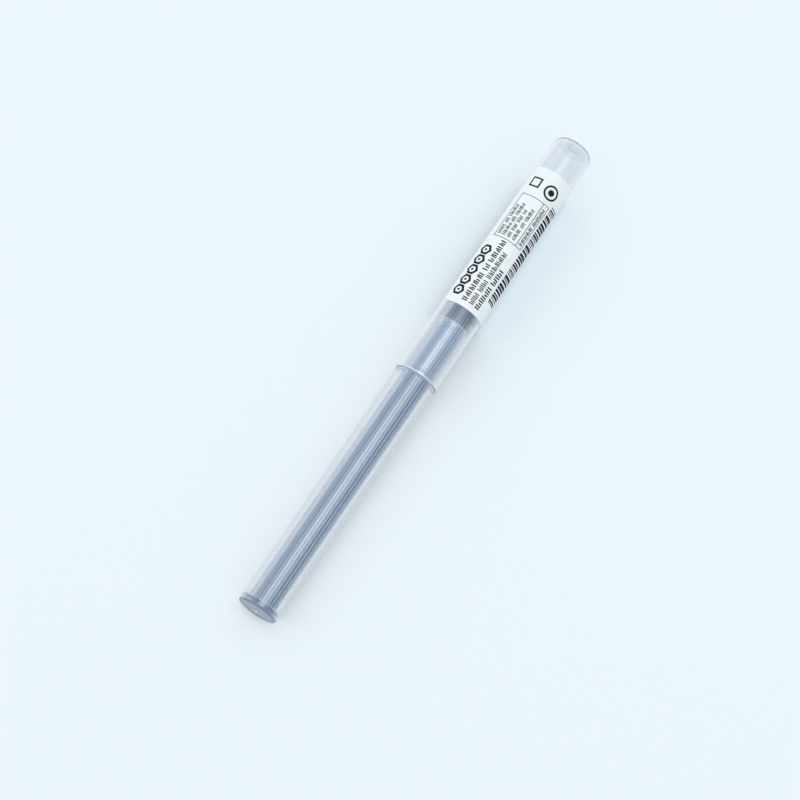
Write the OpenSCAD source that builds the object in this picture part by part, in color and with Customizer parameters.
// A refill tube of pencil leads: a closed body tube, a pull-off cap with a wrapped label, and loose leads.
// It lies along X with its closed body end at -X and its closed cap end at +X. Z is up, and the origin is
// midway along the tube at the height of the surface that it lies on.

/* [Body tube] */
// Length of the body tube from its closed end to its mouth
body_len = 56; // [50:0.5:64]
// Length of the thinner neck that the cap slides over
neck_len = 10.8; // [6:0.2:16]
// Outer diameter at the closed end, before its edge is rounded
body_end_d = 6.8; // [6.6:0.05:7.2]
// Outer diameter at the shoulder that the cap meets
body_shoulder_d = 7.35; // [7.2:0.05:8]
// Bore diameter at the floor, the narrow end of its draft
bore_floor_d = 4.95; // [4.7:0.05:5.3]
// Bore diameter at the mouth
bore_mouth_d = 5.1; // [4.95:0.05:5.6]
// Thickness of the floor that closes the tube
body_floor = 1.2; // [0.8:0.1:3]
// Radius of the rounded outer edge of the closed end
body_end_round = 0.4; // [0.3:0.1:1.1]
// Radius of the fillet where the bore meets its floor
floor_fillet = 0.3; // [0.1:0.05:0.6]
// Radius of the rounded edge of the shoulder
shoulder_round = 0.25; // [0.1:0.05:0.3]
// Radius of the rounded outer edge of the mouth
mouth_round = 0.25; // [0.1:0.05:0.4]

/* [Retaining bead] */
// Distance of the bead's crown from the mouth
bead_from_mouth = 1.3; // [0.8:0.1:4]
// Radius of the bead's round section
bead_section_r = 0.5; // [0.3:0.05:0.6]

/* [Cap] */
// Length of the cap from its rim to its closed end
cap_len = 48.6; // [44:0.2:60]
// Outer diameter just above the rim's lip
cap_rim_d = 7.5; // [7.4:0.05:8.2]
// Outer diameter at the closed end, before its edge is rounded
cap_end_d = 6.9; // [6.7:0.05:7.5]
// Wall thickness of the sleeve
cap_wall = 0.42; // [0.35:0.01:0.5]
// Thickness of the closed end
cap_end_wall = 0.55; // [0.5:0.05:2]
// Radius of the rounded outer edge of the closed end
cap_end_round = 1.2; // [0.4:0.05:1.6]
// Radius of the fillet inside the closed end
cap_end_fillet = 0.75; // [0.2:0.05:1]
// Height that the rim's lip stands out from the sleeve
lip_h = 0.08; // [0.02:0.01:0.2]
// Length of the lip's full-height band
lip_len = 0.35; // [0.2:0.05:1]
// Length over which the lip falls back to the sleeve
lip_fade = 0.6; // [0.3:0.05:2]
// Radius of the rounded outer edge of the rim
rim_round = 0.1; // [0.05:0.01:0.2]

/* [Moulding gates] */
// Diameter of the round recess in each closed end
gate_recess_d = 2.1; // [1.4:0.1:3]
// Depth of that recess
gate_recess_depth = 0.25; // [0.1:0.05:0.4]
// Diameter of the gate's stub in the middle of the recess
gate_stub_d = 0.9; // [0.5:0.1:1.2]
// Height of the stub above the bottom of the recess
gate_stub_h = 0.15; // [0.05:0.05:0.3]

/* [Label] */
// Distance from the cap's rim to the label's lower edge
label_from_rim = 13.4; // [10:0.2:16]
// Length of the label along the cap
label_len = 28.1; // [20:0.5:30]
// Thickness of the label
label_thick = 0.08; // [0.05:0.01:0.2]
// Width of bare cap left between the label's two long edges
label_seam_gap = 7.4; // [0.5:0.1:10]
// Radius of the label's four corners
label_corner_r = 0.8; // [0.2:0.1:2]
// Angle of the seam's first edge from the top of the tube, towards +Y
label_seam_angle = 63; // [0:1:180]

/* [Leads] */
// Diameter of a lead of the nominal 0.5 mm size
lead_d = 0.56; // [0.5:0.01:0.57]
// Length of a lead
lead_len = 60; // [50:1:66]
// How many leads lie in each row, from the bore's wall inwards
lead_rows = [8, 6, 4];
// Angle by which the heap leans from straight down, towards +Y
heap_lean = 2; // [-15:1:15]

/* [Clearances] */
// Radial clearance between the neck and the cap's bore
neck_clearance = 0.08; // [0.06:0.01:0.12]
// Radial clearance between the bead's crown and the cap's bore
bead_clearance = 0.02; // [0.01:0.005:0.04]
// Gap between the shoulder and the cap's rim
rim_gap = 0.1; // [0.02:0.02:0.5]
// Layer of glue between the label and the cap
glue_gap = 0.01; // [0.01:0.01:0.03]
// Free space round each lead
lead_clearance = 0.05; // [0.03:0.01:0.08]

/* [Hidden] */
// Segments of a revolved surface
round_segments = 96;
// Extra length by which a cutter passes the surface that it cuts
over = 0.5;

// Stations along the axis, measured from the outside of the body's closed end
shoulder_x = body_len - neck_len;
rim_x = shoulder_x + rim_gap;
bead_x = body_len - bead_from_mouth;
cap_end_x = rim_x + cap_len;
cap_floor_x = cap_end_x - cap_end_wall;
label_x = rim_x + label_from_rim;
label_end_x = label_x + label_len;
leads_x = body_floor + floor_fillet + lead_clearance;
total_len = cap_end_x;

// The whole part lies on the lip of the cap's rim, its widest place
lie_height = cap_rim_d / 2 + lip_h;

// The radius between r0 at x0 and r1 at x1, for every drafted wall
function draft_r(x, x0, r0, x1, r1) = r0 + (r1 - r0) * (x - x0) / (x1 - x0);
function cap_outer_r(x) = draft_r(x, rim_x, cap_rim_d / 2, cap_end_x, cap_end_d / 2);
function cap_bore_r(x) = cap_outer_r(x) - cap_wall;
function neck_r(x) = cap_bore_r(x) - neck_clearance;
function bore_r(x) = draft_r(x, body_floor, bore_floor_d / 2, body_len, bore_mouth_d / 2);

// The label's long edges and corners, as angles about the axis from straight down towards +Y
label_turn = 180 - label_seam_angle;
label_wrap = 360 - label_seam_gap / cap_outer_r(label_x) * 180 / PI;
label_corner_angle = label_corner_r / cap_outer_r(label_x) * 180 / PI;

// Numbers of the leads' rows: each row is an arc that lies inside the one before it
lead_pitch = lead_d + lead_clearance;
nest_r = bore_floor_d / 2 - lead_d / 2 - lead_clearance;
lead_count = sum(lead_rows);
function sum(list, i = 0) = i < len(list) ? list[i] + sum(list, i + 1) : 0;
function row_of(i, row = 0) = i < lead_rows[row] ? row : row_of(i - lead_rows[row], row + 1);
function place_in_row(i, row = 0) = i < lead_rows[row] ? i : place_in_row(i - lead_rows[row], row + 1);
function row_r(row) = nest_r - row * lead_pitch;
function row_step(row) = 2 * asin(lead_pitch / 2 / row_r(row));
function lead_angle(i) =
    heap_lean + (place_in_row(i) - (lead_rows[row_of(i)] - 1) / 2) * row_step(row_of(i));
function lead_name(i) = str("lead_", i < 9 ? "0" : "", i + 1);

PLASTIC = [0.86, 0.88, 0.92, 0.55];
PAPER = [0.95, 0.96, 0.97];
GRAPHITE = [0.22, 0.23, 0.26];

function unit(v) = v / norm(v);

// What lies between a corner at b, whose sides run to a and c, and the arc of radius r that rounds it
module corner_sliver(a, b, c, r) {
    u = unit(a - b);
    v = unit(c - b);
    half = acos(u * v) / 2;
    centre = b + unit(u + v) * r / sin(half);
    difference() {
        polygon([b, b + u * r / tan(half), centre, b + v * r / tan(half)]);
        translate(centre) circle(r, $fn = round_segments);
    }
}

// Moves a shape built about +X, as the tube is, to where the tube lies
module lie_down() {
    translate([-total_len / 2, 0, lie_height]) children();
}

// A profile, with x as the radius and y as the station along the axis, revolved about the tube's axis.
// The sweep starts turn degrees from straight down and runs towards +Y
module on_axis(angle = 360, turn = 0) {
    lie_down() rotate([turn, 0, 0]) rotate([0, 90, 0])
        rotate_extrude(angle = angle, $fn = round_segments) children();
}

// The moulding gate's recess with its stub, cut into a closed end. inward is 1 at the body's end and -1 at the cap's
module gate_recess(end_x, inward) {
    difference() {
        translate([0, end_x + (inward > 0 ? -over : -gate_recess_depth)])
            square([gate_recess_d / 2, gate_recess_depth + over]);
        translate([0, end_x + inward * (gate_recess_depth - gate_stub_h / 2) - gate_stub_h / 2])
            square([gate_stub_d / 2, gate_stub_h]);
    }
}

module body_profile() {
    end = [body_end_d / 2, 0];
    shoulder_out = [body_shoulder_d / 2, shoulder_x];
    shoulder_in = [neck_r(shoulder_x), shoulder_x];
    mouth_out = [neck_r(body_len), body_len];
    mouth_in = [bore_r(body_len), body_len];
    floor_corner = [bore_r(body_floor), body_floor];
    difference() {
        union() {
            difference() {
                polygon([[0, 0], end, shoulder_out, shoulder_in, mouth_out, [0, body_len]]);
                corner_sliver([0, 0], end, shoulder_out, body_end_round);
                corner_sliver(end, shoulder_out, shoulder_in, shoulder_round);
                corner_sliver(shoulder_in, mouth_out, mouth_in, mouth_round);
            }
            translate([cap_bore_r(bead_x) - bead_clearance - bead_section_r, bead_x])
                circle(bead_section_r, $fn = round_segments);
        }
        difference() {
            polygon([[0, body_floor], floor_corner, mouth_in + [0, over], [0, body_len + over]]);
            corner_sliver([0, body_floor], floor_corner, mouth_in, floor_fillet);
        }
        gate_recess(0, 1);
    }
}

module cap_profile() {
    rim_in = [cap_bore_r(rim_x), rim_x];
    rim_out = [cap_outer_r(rim_x) + lip_h, rim_x];
    lip_top = [cap_outer_r(rim_x + lip_len) + lip_h, rim_x + lip_len];
    lip_foot = [cap_outer_r(rim_x + lip_len + lip_fade), rim_x + lip_len + lip_fade];
    end = [cap_end_d / 2, cap_end_x];
    end_in = [cap_bore_r(cap_floor_x), cap_floor_x];
    difference() {
        polygon([[0, rim_x], rim_out, lip_top, lip_foot, end, [0, cap_end_x]]);
        corner_sliver(rim_in, rim_out, lip_top, rim_round);
        corner_sliver(lip_foot, end, [0, cap_end_x], cap_end_round);
        difference() {
            polygon([[0, rim_x - over], [cap_bore_r(rim_x - over), rim_x - over], end_in, [0, cap_floor_x]]);
            corner_sliver(rim_in, end_in, [0, cap_floor_x], cap_end_fillet);
        }
        gate_recess(cap_end_x, -1);
    }
}

module body_tube() {
    color(PLASTIC) on_axis() body_profile();
}

module cap() {
    color(PLASTIC) on_axis() cap_profile();
}

// What rounds one corner of the label, seen along the radius through the corner's centre. towards_x and
// towards_turn are 1 or -1 and say which corner it is
module label_corner_cutter(x, angle, towards_x, towards_turn) {
    reach = cap_rim_d;
    lie_down() rotate([angle - towards_turn * label_corner_angle, 0, 0])
        translate([x - towards_x * label_corner_r, 0, -reach]) difference() {
            translate([towards_x > 0 ? 0 : -2 * label_corner_r, towards_turn > 0 ? 0 : -2 * label_corner_r, 0])
                cube([2 * label_corner_r, 2 * label_corner_r, reach]);
            cylinder(r = label_corner_r, h = 3 * reach, center = true, $fn = round_segments);
        }
}

// The label wraps from one long edge, over the top, to the other, and each of its corners is rounded
module label() {
    inner = [for (x = [label_x, label_end_x]) cap_outer_r(x) + glue_gap];
    color(PAPER) difference() {
        on_axis(label_wrap, label_turn)
            polygon([
                [inner[0], label_x], [inner[0] + label_thick, label_x],
                [inner[1] + label_thick, label_end_x], [inner[1], label_end_x]
            ]);
        for (side = [-1, 1]) {
            edge = side < 0 ? label_turn : label_turn + label_wrap;
            label_corner_cutter(label_x, edge, -1, side);
            label_corner_cutter(label_end_x, edge, 1, side);
        }
    }
}

module lead(i) {
    r = row_r(row_of(i));
    color(GRAPHITE) lie_down()
        translate([leads_x, r * sin(lead_angle(i)), -r * cos(lead_angle(i))])
            rotate([0, 90, 0]) cylinder(d = lead_d, h = lead_len, $fn = round_segments);
}

body_tube();
cap();
label();
for (i = [0:lead_count - 1])
    lead(i);
